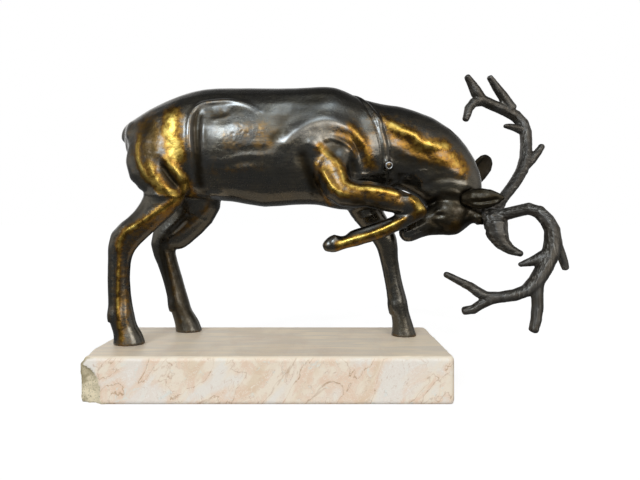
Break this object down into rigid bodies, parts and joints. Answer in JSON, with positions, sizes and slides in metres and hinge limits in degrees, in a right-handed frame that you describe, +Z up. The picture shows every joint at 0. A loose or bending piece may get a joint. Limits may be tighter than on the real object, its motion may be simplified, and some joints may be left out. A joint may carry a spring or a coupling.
{
  "type": "bronze stag statuette",
  "caption": "Patinated bronze stag with branched antlers, head tucked down to a raised foreleg, standing on a rectangular marble slab.",
  "frame": {"origin": "centre of the resting face, on the underside of the slab and its felt", "axes": "+X along the slab towards the stag's head, +Z up, -Y towards the viewer of the stag's near side"},
  "size_m": [0.4388, 0.1224, 0.3106],
  "materials": {
    "bronze_patina": "dark brown patina, glossy, rubbed through to gold on the high places",
    "antler_bronze": "dark grey-brown patina with fine lengthwise grain",
    "marble": "polished creamy pink marble with peach blotches and thin veins",
    "felt": "thin felt pad, let into the slab",
    "steel": "plain zinc-plated fasteners"
  },
  "bodies": {
    "root": {"marble_base": "marble", "base_felt": "felt", "body_casting": "bronze_patina", "neck_head_casting": "bronze_patina", "hind_leg_near": "bronze_patina", "hind_leg_far": "bronze_patina", "foreleg_standing": "bronze_patina", "foreleg_raised": "bronze_patina", "ear_near": "bronze_patina", "ear_far": "bronze_patina", "antler_near": "antler_bronze", "antler_far": "antler_bronze", "antler_pin_near": "steel", "antler_pin_far": "steel", "neck_screw_near": "steel", "neck_screw_far": "steel", "stud_hind_near": "steel", "stud_hind_far": "steel", "stud_fore": "steel", "washer_hind_near": "steel", "washer_hind_far": "steel", "washer_fore": "steel", "nut_hind_near": "steel", "nut_hind_far": "steel", "nut_fore": "steel"}
  },
  "joints": []
}
